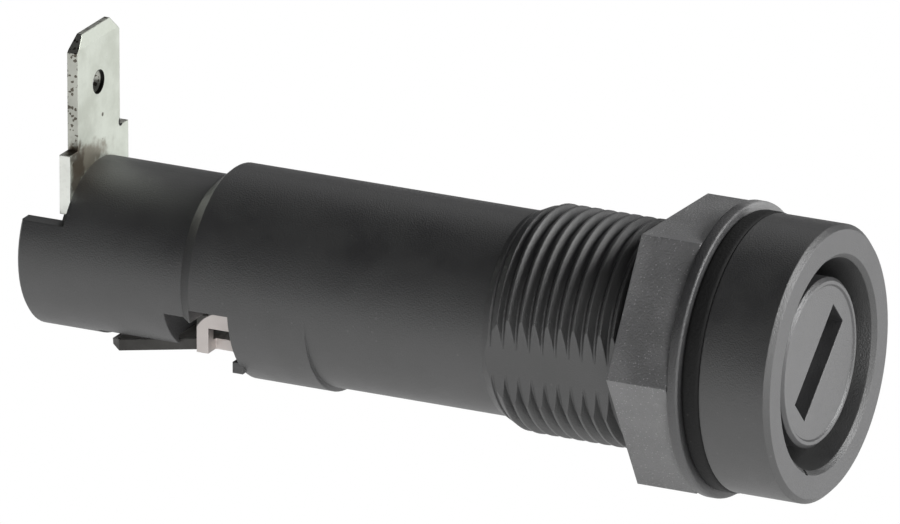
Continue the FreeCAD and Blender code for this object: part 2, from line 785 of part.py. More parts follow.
def on_blade(along, above):
    """Place a corner of the side blade by its distance along the bent-down bottom face and above it."""
    across = f"{STRIP_BEND} + {along} * cos(strip_turn_down) + {above} * sin(strip_turn_down)"
    up = f"{above} * cos(strip_turn_down) - {STRIP_BOTTOM} - {along} * sin(strip_turn_down)"
    return across, up


def make_side_terminal():
    """Make the side terminal: a strip on the bore's floor that bends out to a blade under the rear."""
    bevel_start = "(strip_blade_length - blade_bevel)"
    inner_bend = "(terminal_thickness * tan(strip_turn_down / 2))"
    side = extruded("side_terminal_side", "YZ_Plane", [
        (STRIP_FRONT, f"-{STRIP_BOTTOM}"),
        (STRIP_FRONT, f"-{STRIP_TOP}"),
        (f"{STRIP_BEND} + {inner_bend}", f"-{STRIP_TOP}"),
        on_blade(bevel_start, "terminal_thickness"),
        on_blade("strip_blade_length", "(terminal_thickness - blade_bevel_depth)"),
        on_blade("strip_blade_length", "blade_bevel_depth"),
        on_blade(bevel_start, "0"),
        (STRIP_BEND, f"-{STRIP_BOTTOM}"),
    ], "2 * blade_half_width")
    end = f"({on_blade('strip_blade_length', 'terminal_thickness')[0]})"
    plan = extruded("side_terminal_plan", "XY_Plane", [
        ("-blade_half_width", STRIP_FRONT),
        ("blade_half_width", STRIP_FRONT),
        ("blade_half_width", f"{end} - blade_corner"),
        ("blade_half_width - blade_corner", end),
        ("blade_corner - blade_half_width", end),
        ("-blade_half_width", f"{end} - blade_corner"),
    ], f"4 * {STRIP_BOTTOM}")
    blank = common("side_terminal_blank", side, plan)
    below = f"-2 * {STRIP_BOTTOM}"
    height = f"2 * {STRIP_BOTTOM}"
    hole_place = ("0", f"{end} - strip_hole_inset", below)
    hole = pin("side_blade_hole", "blade_hole_radius", hole_place, height)
    rivet_hole = pin("side_rivet_hole", "side_rivet_radius", ("0", STRIP_RIVET, below), height)
    pierced = cut("side_terminal_pierced", blank, [hole, rivet_hole])
    return join("side_terminal", [pierced, *make_window_lug()])


def make_window_lug():
    """Make the lug that stands up beside the strip inside the window and keeps the strip from sliding."""
    inner = "(fuse_cap_radius + window_lug_gap)"
    outer = f"({inner} + terminal_thickness)"
    start = f"({WINDOW_FRONT} + window_lug_start)"
    end = f"({STRIP_BEND} + window_lug_end)"
    front_end = f"({WINDOW_STEP} - window_lug_clearance)"
    neck = f"({end} - window_lug_neck)"
    front_part = box(
        "window_lug_front",
        (f"-{outer}", start, "-window_lug_bottom"),
        (
            "terminal_thickness",
            f"{front_end} - {start}",
            "window_lug_bottom - window_front_top - window_lug_clearance",
        ),
    )
    rear_part = box(
        "window_lug_rear",
        (f"-{outer}", start, "-window_lug_bottom"),
        (
            "terminal_thickness",
            f"{end} - {start}",
            "window_lug_bottom - window_rear_top - window_lug_clearance",
        ),
    )
    upright = box(
        "window_lug_neck",
        (f"-{outer}", neck, f"-{STRIP_BOTTOM}"),
        ("terminal_thickness", "window_lug_neck", f"{STRIP_BOTTOM} - window_rear_top - window_lug_clearance"),
    )
    foot = box(
        "window_lug_foot",
        (f"-{outer}", neck, f"-{STRIP_BOTTOM}"),
        (f"{outer} - blade_half_width + window_lug_clearance", "window_lug_neck", "terminal_thickness"),
    )
    return [front_part, rear_part, upright, foot]


def make_contact_finger():
    """Make the thin spring finger on the strip that presses on the front contact cup."""
    base = f"(-{STRIP_TOP})"
    crest = f"(-{CUP_OUTER} - contact_gap - finger_thickness)"
    rear = f"({STRIP_FRONT} + finger_overlap)"
    foot = f"({CONTACT_STATION} + finger_ramp)"
    crest_rear = f"({CONTACT_STATION} + finger_crest / 2)"
    crest_front = f"({CONTACT_STATION} - finger_crest / 2)"
    tail = f"({crest_front} - finger_tail)"
    thick = "finger_thickness"
    blank = extruded("finger_side", "YZ_Plane", [
        (rear, base),
        (foot, base),
        (crest_rear, crest),
        (crest_front, crest),
        (tail, f"{crest} - finger_tail_drop"),
        (tail, f"{crest} - finger_tail_drop + {thick}"),
        (crest_front, f"{crest} + {thick}"),
        (crest_rear, f"{crest} + {thick}"),
        (foot, f"{base} + {thick}"),
        (rear, f"{base} + {thick}"),
    ], "2 * finger_half_width")
    below = f"-2 * {STRIP_BOTTOM}"
    height = f"2 * {STRIP_BOTTOM}"
    rivet_hole = pin("finger_rivet_hole", "side_rivet_radius", ("0", STRIP_RIVET, below), height)
    return cut("contact_finger", blank, [rivet_hole])


def make_side_rivet():
    """Make the rivet that holds the spring finger on the strip."""
    bottom = f"(-{STRIP_BOTTOM} - side_head_thickness)"
    grip = "(terminal_thickness + finger_thickness)"
    foot = ("0", STRIP_RIVET, bottom)
    top = ("0", STRIP_RIVET, f"finger_thickness - {STRIP_TOP}")
    shank = pin("side_rivet_shank", "side_rivet_radius", foot, f"{grip} + 2 * side_head_thickness")
    lower = pin("side_rivet_lower", "side_head_radius", foot, "side_head_thickness")
    upper = pin("side_rivet_upper", "side_head_radius", top, "side_head_thickness")
    return join("side_rivet", [shank, lower, upper])


def make_fuse_tube():
    """Make the fuse's glass tube."""
    end_wall = "(fuse_cap_wall + glass_gap)"
    return ring(
        "fuse_tube",
        f"({FUSE_FRONT} + {end_wall})",
        f"(fuse_length - 2 * {end_wall})",
        f"{GLASS_RADIUS} - glass_wall",
        GLASS_RADIUS,
    )


def fuse_cap(name, face, inwards):
    """Make one of the fuse's two metal caps, closed at its outer face."""
    floor = f"({face} + {inwards} * fuse_cap_wall)"
    mouth = f"({face} + {inwards} * fuse_cap_length)"
    inner = f"({GLASS_RADIUS} + glass_gap)"
    edge = "fuse_cap_wall"
    return turned(name, [
        (face, "0"),
        (face, f"fuse_cap_radius - {edge}"),
        (floor, "fuse_cap_radius"),
        (mouth, "fuse_cap_radius"),
        (mouth, inner),
        (floor, inner),
        (floor, "0"),
    ])


def make_fuse_element():
    """Make the fuse's melting wire, from solder to solder."""
    inset = "(fuse_cap_wall + solder_length)"
    length = f"fuse_length - 2 * {inset}"
    return rod("fuse_element", "element_radius", f"{FUSE_FRONT} + {inset}", length)


def fuse_solder(name, face, inwards):
    """Make the solder inside one of the fuse's caps, where the wire ends."""
    foot = f"({face} + {inwards} * fuse_cap_wall)"
    top = f"({foot} + {inwards} * solder_length)"
    return turned(name, [
        (foot, "0"),
        (foot, "solder_radius"),
        (f"{foot} + {inwards} * solder_length / 3", "solder_radius"),
        (top, "solder_radius / 2"),
        (top, "0"),
    ])


def biarc(start, start_way, end, end_way):
    """Join two points on a curve by two arcs that leave and arrive along its tangents."""
    chord = end - start
    both = start_way + end_way
    square = both.dot(both) - 4
    half = chord.dot(both)
    reach = (half - math.sqrt(half * half - square * chord.dot(chord))) / square
    first_corner = start + start_way * reach
    last_corner = end - end_way * reach
    middle = (first_corner + last_corner) * 0.5
    return [tangent_arc(start, first_corner, middle), tangent_arc(middle, last_corner, end)]


def tangent_arc(start, corner, end):
    """Make the arc from start to end whose tangents meet at a corner."""
    centre = (start + end) * 0.5
    rise = corner - centre
    half_chord = start.distanceToPoint(end) / 2
    turn = 2 * math.atan2(rise.Length, half_chord)
    top = centre + rise.normalize() * (half_chord * math.tan(turn / 4))
    return Part.Arc(start, top, end)


def make_carrier_spring():
    """Make the compression spring between the knob and the contact cup, one unbroken wire."""
    room = rod(
        "spring_room",
        f"{SKIRT_INNER} - spring_side_gap - spring_wire / 2",
        f"{KNOB_INNER_FACE} + contact_gap + spring_wire / 2",
        f"{FLANGE_FRONT} - {KNOB_INNER_FACE} - 2 * contact_gap - spring_wire",
    )
    doc.recompute()
    coil_radius = room.Radius.Value
    start = room.Placement.Base.y
    length = room.Height.Value
    wire = sheet_value("spring_wire")
    turns = sheet_value("spring_turns")
    end_turns = sheet_value("spring_end_turns")
    end_pitch = sheet_value("spring_end_pitch")
    pitch = (length - 2 * end_turns * end_pitch) / (turns - 2 * end_turns)

    def station(turn):
        """Give the wire's station after a number of turns: closer wound at both ends."""
        closed = min(turn, end_turns) + max(turn - turns + end_turns, 0)
        return start + closed * end_pitch + (turn - closed) * pitch

    def point(turn):
        """Give the point of the wire's centre line after a number of turns."""
        angle = math.tau * turn
        across = coil_radius * math.cos(angle)
        height = -coil_radius * math.sin(angle)
        return FreeCAD.Vector(across, station(turn), height)

    def way(turn):
        """Give the wire's direction after a number of turns."""
        before = max(turn - TURN_STEP, 0)
        after = min(turn + TURN_STEP, turns)
        return (point(after) - point(before)).normalize()

    arcs = []
    for step in range(round(QUARTERS * turns)):
        first = step / QUARTERS
        last = (step + 1) / QUARTERS
        arcs += biarc(point(first), way(first), point(last), way(last))
    path = Part.Wire([arc.toShape() for arc in arcs])
    section = Part.Wire([Part.Circle(point(0), way(0), wire / 2).toShape()])
    shell = Part.BRepOffsetAPI.MakePipeShell(path)
    shell.add(section)
    shell.build()
    shell.makeSolid()
    gap = min(pitch, end_pitch) - wire
    print(f"carrier_spring: {turns:g} turns, least gap between turns {gap:.2f} mm")
    by_length = path.Length * math.pi * (wire / 2) ** 2
    print(f"carrier_spring: volume {shell.shape().Volume:.2f}, by length {by_length:.2f}")
    spring = doc.addObject("Part::Feature", "carrier_spring")
    spring.Shape = shell.shape()
    return spring


# Every sub-part: the node's name and what makes it.
NODES = {
    "holder_body": make_holder_body,
    "panel_gasket": make_panel_gasket,
    "panel_washer": make_panel_washer,
    "panel_nut": make_panel_nut,
    "carrier_knob": make_carrier_knob,
    "cup_retainer": make_cup_retainer,
    "carrier_spring": make_carrier_spring,
    "front_contact_cup": make_front_cup,
    "fuse_cap_front": lambda: fuse_cap("fuse_cap_front", FUSE_FRONT, "1"),
    "fuse_cap_rear": lambda: fuse_cap("fuse_cap_rear", FUSE_REAR, "-1"),
    "fuse_tube": make_fuse_tube,
    "fuse_element": make_fuse_element,
    "fuse_solder_front": lambda: fuse_solder("fuse_solder_front", FUSE_FRONT, "1"),
    "fuse_solder_rear": lambda: fuse_solder("fuse_solder_rear", FUSE_REAR, "-1"),
    "rear_terminal": make_rear_terminal,
    "rear_contact_cup": make_rear_cup,
    "rear_rivet": make_rear_rivet,
    "side_terminal": make_side_terminal,
    "contact_finger": make_contact_finger,
    "side_rivet": make_side_rivet,
}


def check_document():
    """Stop if any object of the document has failed."""
    failed = [item.Name for item in doc.Objects if {"Invalid", "Error"} & set(item.State)]
    if failed:
        raise RuntimeError(f"failed objects: {failed}")


def check_shape(name, shape):
    """Stop if a sub-part is not one valid solid."""
    if shape.isNull() or not shape.isValid() or len(shape.Solids) != 1 or shape.Volume <= 0:
        raise RuntimeError(f"{name} is not one valid solid")


def main():
    """Build every sub-part, check it and write it out."""
    write_sheet()
    built = {}
    for name, make in NODES.items():
        built[name] = make()
        built[name].Label = name
    doc.recompute()
    check_document()
    for name, item in built.items():
        check_shape(name, item.Shape)
    os.makedirs(NODE_FOLDER, exist_ok=True)
    for name, item in built.items():
        item.Shape.exportStep(os.path.join(NODE_FOLDER, f"{name}.step"))


main()
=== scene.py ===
"""Looks of the panel-mounted fuse holder with its cartridge fuse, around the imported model."""

import json
import logging
import math
from collections.abc import Callable
from dataclasses import dataclass, field
from enum import Enum

import bpy
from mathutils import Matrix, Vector

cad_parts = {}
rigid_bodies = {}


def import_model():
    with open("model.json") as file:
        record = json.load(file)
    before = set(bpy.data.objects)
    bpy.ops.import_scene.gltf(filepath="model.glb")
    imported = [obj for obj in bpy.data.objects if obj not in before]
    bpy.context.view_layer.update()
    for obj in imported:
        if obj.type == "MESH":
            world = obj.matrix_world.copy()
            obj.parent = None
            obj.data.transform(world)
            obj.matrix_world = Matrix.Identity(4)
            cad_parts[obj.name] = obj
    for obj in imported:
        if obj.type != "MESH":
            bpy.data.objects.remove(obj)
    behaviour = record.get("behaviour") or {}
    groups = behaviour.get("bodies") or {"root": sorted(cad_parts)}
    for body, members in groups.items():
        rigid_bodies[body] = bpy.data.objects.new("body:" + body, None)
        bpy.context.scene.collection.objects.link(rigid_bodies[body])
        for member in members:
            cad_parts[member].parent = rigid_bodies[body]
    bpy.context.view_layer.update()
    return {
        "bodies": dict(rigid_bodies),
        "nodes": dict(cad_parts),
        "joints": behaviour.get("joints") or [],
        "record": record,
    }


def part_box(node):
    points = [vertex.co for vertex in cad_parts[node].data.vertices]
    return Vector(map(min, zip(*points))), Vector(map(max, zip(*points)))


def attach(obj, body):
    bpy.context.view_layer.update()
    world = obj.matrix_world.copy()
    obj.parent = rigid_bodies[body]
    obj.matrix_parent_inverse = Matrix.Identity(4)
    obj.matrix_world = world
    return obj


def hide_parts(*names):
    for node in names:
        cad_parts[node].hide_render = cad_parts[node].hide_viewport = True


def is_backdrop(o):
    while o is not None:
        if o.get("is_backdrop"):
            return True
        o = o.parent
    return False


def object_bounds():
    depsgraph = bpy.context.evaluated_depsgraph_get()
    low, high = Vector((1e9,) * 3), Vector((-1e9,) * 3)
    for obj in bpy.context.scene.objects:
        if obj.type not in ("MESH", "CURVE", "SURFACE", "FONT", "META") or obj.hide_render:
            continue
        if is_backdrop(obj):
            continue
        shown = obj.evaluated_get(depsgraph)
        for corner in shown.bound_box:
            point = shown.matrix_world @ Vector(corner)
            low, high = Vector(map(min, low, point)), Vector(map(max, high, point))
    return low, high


LOG = logging.getLogger("fuse_holder")

MM = 0.001
WHITE = (1.0, 1.0, 1.0, 1.0)

# The patterns of the shared effects: how fine each one is, and the limits it is stretched between.
GRAIN_DETAIL = 3.0
CLOUD_DETAIL = 4.0
CLOUD_ROUGHNESS = 0.6
CLOUD_LIMITS = (0.3, 0.7)
LINE_DETAIL = 2.0
LINE_ROUGHNESS = 0.7
LINE_LIMITS = (0.58, 0.72)
RIM_DETAIL = 4.0
NOISE_MIDDLE = 0.5
FACING_LIMITS = (0.85, 0.97)
EDGE_SAMPLES = 6

# How the modelled rings are rounded, welded and shaded.
CORNER_SEGMENTS = 4
WELD_DISTANCE = 1e-6
SMOOTH_ANGLE = math.radians(40)

# Where the marked faces lie along the holder's axis, in millimetres: rough patches, painted shade and
# painted highlights.
DISC_FACE = -2.65
BLADE_FACE = 51.1
SHOULDER_MIDDLE = 51.5

Colour = tuple[float, float, float]
Triple = tuple[float, float, float]
Feed = bpy.types.NodeSocket | float | tuple
Feeds = dict[str | int, Feed]


def opaque(colour: Colour) -> tuple[float, float, float, float]:
    """Give a colour its full alpha."""
    return (*colour, 1.0)


def mm(x: float, y: float, z: float) -> Triple:
    """Give a point in millimetres as a point in metres."""
    return (x * MM, y * MM, z * MM)


def deselect_all() -> None:
    """Leave nothing selected, so that the next operator acts on its own piece alone."""
    bpy.ops.object.select_all(action="DESELECT")


class Graph:
    """Adds nodes to one node tree and joins their sockets."""

    def __init__(self, tree: bpy.types.NodeTree) -> None:
        """Keep the tree that the nodes go into.

        Args:
            tree: The node tree of a material, a world or a node group.
        """
        self.tree = tree

    def node(self, kind: str, feeds: Feeds | None = None, **settings: object) -> bpy.types.Node:
        """Add one node.

        Args:
            kind: The node's type.
            feeds: What goes into its inputs: a socket to join, or a fixed value.
            settings: The node's own options.

        Returns:
            The new node.
        """
        node = self.tree.nodes.new(kind)
        for name, value in settings.items():
            setattr(node, name, value)
        for name, value in (feeds or {}).items():
            self.feed(node.inputs[name], value)
        return node

    def feed(self, socket: bpy.types.NodeSocket, value: Feed) -> None:
        """Join a socket to an input, or set the input's fixed value.

        Args:
            socket: The input.
            value: The socket to join, or the fixed value.
        """
        if isinstance(value, bpy.types.NodeSocket):
            self.tree.links.new(value, socket)
        else:
            socket.default_value = value

    def maths(self, operation: str, first: Feed, second: Feed = 0.0) -> bpy.types.NodeSocket:
        """Work out one value from two.

        Args:
            operation: What is done with the values.
            first: The first value.
            second: The second value, where the operation takes one.

        Returns:
            The result.
        """
        return self.node("ShaderNodeMath", {0: first, 1: second}, operation=operation).outputs[0]

    def vectors(self, operation: str, *feeds: Feed) -> bpy.types.Node:
        """Work with one or two vectors.

        Args:
            operation: What is done with the vectors.
            feeds: The vectors.

        Returns:
            The node, whose first output is a vector and whose "Value" output is a number.
        """
        return self.node("ShaderNodeVectorMath", dict(enumerate(feeds)), operation=operation)

    def noise(self, place: Feed, scale: Feed, detail: float, roughness: float = 0.5) -> bpy.types.NodeSocket:
        """Add a noise pattern.

        Args:
            place: The place on the piece.
            scale: The pattern's scale.
            detail: How many finer layers it has.
            roughness: How strong the finer layers are.

        Returns:
            The pattern's value from 0 to 1.
        """
        feeds = {"Vector": place, "Scale": scale, "Detail": detail, "Roughness": roughness}
        return self.node("ShaderNodeTexNoise", feeds).outputs["Fac"]

    def ramp(self, value: Feed, low: Feed, high: Feed) -> bpy.types.NodeSocket:
        """Stretch a value so that low becomes 0 and high becomes 1, with soft ends.

        Args:
            value: The value.
            low: What becomes 0.
            high: What becomes 1.

        Returns:
            The stretched value.
        """
        feeds = {"Value": value, "From Min": low, "From Max": high}
        return self.node("ShaderNodeMapRange", feeds, interpolation_type="SMOOTHSTEP").outputs[0]

    def blend(self, share: Feed, first: Feed, second: Feed) -> bpy.types.NodeSocket:
        """Mix two colours.

        Args:
            share: The second colour's share, from 0 to 1.
            first: The colour at share 0.
            second: The colour at share 1.

        Returns:
            The mixed colour.
        """
        node = self.node("ShaderNodeMix", data_type="RGBA")
        colour_inputs = [socket for socket in node.inputs if socket.type == "RGBA"]
        self.feed(node.inputs[0], share)
        self.feed(colour_inputs[0], first)
        self.feed(colour_inputs[1], second)
        return next(socket for socket in node.outputs if socket.type == "RGBA")


def start_material(name: str) -> tuple[bpy.types.Material, Graph, bpy.types.Node]:
    """Start a material.

    Args:
        name: The material's name.

    Returns:
        The material, its nodes and its surface shader.
    """
    material = bpy.data.materials.new(name)
    material.use_nodes = True
    return material, Graph(material.node_tree), material.node_tree.nodes["Principled BSDF"]


def add_relief(graph: Graph, shader: bpy.types.Node, height: Feed, depth: float, edge: float) -> None:
    """Give a surface softened edges and a fine relief.

    Args:
        graph: The material's nodes.
        shader: The material's surface shader.
        height: The relief's pattern.
        depth: How deep the relief is, in metres.
        edge: The radius of the softened edges, in metres.
    """
    softened = graph.node("ShaderNodeBevel", {"Radius": edge}, samples=EDGE_SAMPLES)
    feeds = {"Strength": 1.0, "Distance": depth, "Height": height, "Normal": softened.outputs["Normal"]}
    bump = graph.node("ShaderNodeBump", feeds)
    graph.feed(shader.inputs["Normal"], bump.outputs["Normal"])


class Effect(Enum):
    """The surface effects that several finishes share."""

    GRAIN = "moulded_grain"
    SPECKS = "fine_specks"
    SCRATCHES = "hairline_scratches"
    FACING = "facing_mask"
    SPOT = "soft_spot"


@dataclass
class EffectKit:
    """Builds each shared effect once, as a node group, and places it in materials."""

    built: dict[Effect, bpy.types.NodeTree] = field(default_factory=dict)

    def place(self, graph: Graph, effect: Effect, feeds: Feeds) -> bpy.types.Node:
        """Put an effect into a material with values of its own.

        Args:
            graph: The material's nodes.
            effect: Which effect.
            feeds: What goes into the group's named inputs.

        Returns:
            The group node.
        """
        if effect not in self.built:
            self.built[effect] = self.group(effect)
        node = graph.node("ShaderNodeGroup", node_tree=self.built[effect])
        for name, value in feeds.items():
            graph.feed(node.inputs[name], value)
        return node

    def group(self, effect: Effect) -> bpy.types.NodeTree:
        """Build the node group of one effect.

        Args:
            effect: Which effect.

        Returns:
            The new node group.
        """
        makers: dict[Effect, Callable[[], bpy.types.NodeTree]] = {
            Effect.GRAIN: self.grain,
            Effect.SPECKS: self.specks,
            Effect.SCRATCHES: self.scratches,
            Effect.FACING: self.facing,
            Effect.SPOT: self.spot,
        }
        return makers[effect]()

    def start(
        self, effect: Effect, inputs: dict[str, float | tuple], outputs: list[str]
    ) -> tuple[Graph, bpy.types.Node, bpy.types.Node]:
        """Start a node group whose first input is the place on the piece.

        Args:
            effect: The effect that the group is for.
            inputs: The other inputs with their first values, a tuple for a vector.
            outputs: The value outputs.

        Returns:
            The group's nodes, its input node and its output node.
        """
        tree = bpy.data.node_groups.new(effect.value, "ShaderNodeTree")
        tree.interface.new_socket("Place", in_out="INPUT", socket_type="NodeSocketVector")
        for name, value in inputs.items():
            kind = "NodeSocketVector" if isinstance(value, tuple) else "NodeSocketFloat"
            socket = tree.interface.new_socket(name, in_out="INPUT", socket_type=kind)
            socket.default_value = value
        for name in outputs:
            tree.interface.new_socket(name, in_out="OUTPUT", socket_type="NodeSocketFloat")
        graph = Graph(tree)
        return graph, graph.node("NodeGroupInput"), graph.node("NodeGroupOutput")

    def grain(self) -> bpy.types.NodeTree:
        """Build fine moulded grain with a slow drift of tone under it.

        Returns:
            The new node group.
        """
        inputs = {"Scale": 6000.0, "Cloud Scale": 300.0}
        graph, given, result = self.start(Effect.GRAIN, inputs, ["Height", "Cloud"])
        place = given.outputs["Place"]
        fine = graph.noise(place, given.outputs["Scale"], GRAIN_DETAIL)
        cloud = graph.noise(place, given.outputs["Cloud Scale"], CLOUD_DETAIL, CLOUD_ROUGHNESS)
        graph.feed(result.inputs["Height"], fine)
        graph.feed(result.inputs["Cloud"], graph.ramp(cloud, *CLOUD_LIMITS))
        return graph.tree

    def specks(self) -> bpy.types.NodeTree:
        """Build small scattered grains: each cell holds one, and only a share of the cells shows it.

        Returns:
            The new node group.
        """
        inputs = {"Scale": 2500.0, "Amount": 0.1, "Size": 0.3}
        graph, given, result = self.start(Effect.SPECKS, inputs, ["Mask"])
        feeds = {"Vector": given.outputs["Place"], "Scale": given.outputs["Scale"]}
        cells = graph.node("ShaderNodeTexVoronoi", feeds)
        parts = graph.node("ShaderNodeSeparateColor", {"Color": cells.outputs["Color"]})
        chosen = graph.maths("LESS_THAN", parts.outputs[0], given.outputs["Amount"])
        reach = graph.maths("MULTIPLY", given.outputs["Size"], parts.outputs[1])
        close = graph.maths("LESS_THAN", cells.outputs["Distance"], reach)
        graph.feed(result.inputs["Mask"], graph.maths("MULTIPLY", chosen, close))
        return graph.tree

    def scratches(self) -> bpy.types.NodeTree:
        """Build thin lines in one direction, broken by the pattern's own finer layers.

        Returns:
            The new node group.
        """
        inputs = {"Scale": 2500.0, "Stretch": 0.04, "Amount": 0.4}
        graph, given, result = self.start(Effect.SCRATCHES, inputs, ["Mask", "Height"])
        stretch = graph.node("ShaderNodeCombineXYZ", {"X": 1.0, "Y": 1.0, "Z": given.outputs["Stretch"]})
        drawn = graph.vectors("MULTIPLY", given.outputs["Place"], stretch.outputs[0]).outputs[0]
        lines = graph.noise(drawn, given.outputs["Scale"], LINE_DETAIL, LINE_ROUGHNESS)
        thin = graph.ramp(lines, *LINE_LIMITS)
        graph.feed(result.inputs["Mask"], graph.maths("MULTIPLY", thin, given.outputs["Amount"]))
        graph.feed(result.inputs["Height"], lines)
        return graph.tree

    def facing(self) -> bpy.types.NodeTree:
        """Build the masks of where the surface faces one way, and where it stands across that way.

        Returns:
            The new node group.
        """
        inputs = {"Axis": (0.0, -1.0, 0.0)}
        graph, given, result = self.start(Effect.FACING, inputs, ["Towards", "Across"])
        dot = graph.vectors("DOT_PRODUCT", given.outputs["Place"], given.outputs["Axis"]).outputs["Value"]
        graph.feed(result.inputs["Towards"], graph.ramp(dot, *FACING_LIMITS))
        along = graph.ramp(graph.maths("ABSOLUTE", dot), *FACING_LIMITS)
        graph.feed(result.inputs["Across"], graph.maths("SUBTRACT", 1.0, along))
        return graph.tree

    def spot(self) -> bpy.types.NodeTree:
        """Build a soft spot round a point, ragged at its rim, drawn out along the axes by its stretch.

        Returns:
            The new node group.
        """
        inputs = {
            "Centre": (0.0, 0.0, 0.0),
            "Stretch": (1.0, 1.0, 1.0),
            "Radius": 1.0 * MM,
            "Softness": 0.5 * MM,
            "Ragged": 0.0,
            "Scale": 1500.0,
        }
        graph, given, result = self.start(Effect.SPOT, inputs, ["Mask"])
        place = given.outputs["Place"]
        away = graph.vectors("SUBTRACT", place, given.outputs["Centre"]).outputs[0]
        drawn = graph.vectors("MULTIPLY", away, given.outputs["Stretch"]).outputs[0]
        reach = graph.vectors("LENGTH", drawn).outputs["Value"]
        noise = graph.noise(place, given.outputs["Scale"], RIM_DETAIL)
        swing = graph.maths("SUBTRACT", noise, NOISE_MIDDLE)
        ragged = graph.maths("ADD", reach, graph.maths("MULTIPLY", swing, given.outputs["Ragged"]))
        outside = graph.maths("ADD", given.outputs["Radius"], given.outputs["Softness"])
        beyond = graph.ramp(ragged, given.outputs["Radius"], outside)
        graph.feed(result.inputs["Mask"], graph.maths("SUBTRACT", 1.0, beyond))
        return graph.tree


@dataclass(frozen=True)
class Spot:
    """One stain, mark, rough patch, painted shade or painted highlight on a piece, in metres."""

    centre: Triple
    radius: float
    softness: float
    colour: Colour
    share: float = 1.0
    stretch: Triple = (1.0, 1.0, 1.0)
    ragged: float = 0.0
    scale: float = 1500.0

    def over(
        self, graph: Graph, kit: EffectKit, place: bpy.types.NodeSocket, tone: bpy.types.NodeSocket
    ) -> bpy.types.NodeSocket:
        """Lay the spot over a colour.

        Args:
            graph: The material's nodes.
            kit: The shared effects.
            place: The place on the piece.
            tone: The colour under the spot.

        Returns:
            The colour with the spot on it.
        """
        feeds = {
            "Place": place,
            "Centre": self.centre,
            "Stretch": self.stretch,
            "Radius": self.radius,
            "Softness": self.softness,
            "Ragged": self.ragged,
            "Scale": self.scale,
        }
        mask = kit.place(graph, Effect.SPOT, feeds).outputs["Mask"]
        return graph.blend(graph.maths("MULTIPLY", mask, self.share), tone, opaque(self.colour))


@dataclass(frozen=True)
class PlasticFinish:
    """Moulded plastic or rubber: fine grain, drifting tone, pale dust grains, softened edges and painted
    front light.
    """

    name: str
    dark: Colour
    light: Colour
    roughness: float = 0.42
    roughness_drift: float = 0.08
    grain_scale: float = 9000.0
    grain_height: float = 0.03
    cloud_scale: float = 260.0
    speck_scale: float = 3200.0
    speck_amount: float = 0.04
    speck_size: float = 0.32
    speck_colour: Colour = (0.25, 0.25, 0.24)
    edge_radius: float = 0.12 * MM
    specular: float = 1.0
    refraction: float = 1.6
    # Painted light: faces turned towards front_normal take the lighter front colour, by front_light_share.
    front_normal: Triple = (0.0, -1.0, 0.0)
    front: Colour = (0.06, 0.06, 0.062)
    front_light_share: float = 0.0
    spots: tuple[Spot, ...] = ()

    def build(self, kit: EffectKit) -> bpy.types.Material:
        """Make the material.

        Args:
            kit: The shared effects.

        Returns:
            The new material.
        """
        material, graph, shader = start_material(self.name)
        coordinates = graph.node("ShaderNodeTexCoord")
        place = coordinates.outputs["Object"]
        feeds = {"Place": place, "Scale": self.grain_scale, "Cloud Scale": self.cloud_scale}
        grain = kit.place(graph, Effect.GRAIN, feeds)
        feeds = {"Place": coordinates.outputs["Normal"], "Axis": self.front_normal}
        facing = kit.place(graph, Effect.FACING, feeds)
        feeds = {
            "Place": place,
            "Scale": self.speck_scale,
            "Amount": self.speck_amount,
            "Size": self.speck_size,
        }
        specks = kit.place(graph, Effect.SPECKS, feeds)
        cloud = grain.outputs["Cloud"]
        tone = graph.blend(cloud, opaque(self.dark), opaque(self.light))
        # Painted light: the faces towards the front take the lighter front colour.
        painted_front_light = graph.maths("MULTIPLY", facing.outputs["Towards"], self.front_light_share)
        tone = graph.blend(painted_front_light, tone, opaque(self.front))
        tone = graph.blend(specks.outputs["Mask"], tone, opaque(self.speck_colour))
        for spot in self.spots:
            tone = spot.over(graph, kit, place, tone)
        graph.feed(shader.inputs["Base Color"], tone)
        drift = graph.maths("MULTIPLY", cloud, self.roughness_drift)
        graph.feed(shader.inputs["Roughness"], graph.maths("ADD", drift, self.roughness))
        graph.feed(shader.inputs["Specular IOR Level"], self.specular)
        graph.feed(shader.inputs["IOR"], self.refraction)
        add_relief(graph, shader, grain.outputs["Height"], self.grain_height * MM, self.edge_radius)
        return material


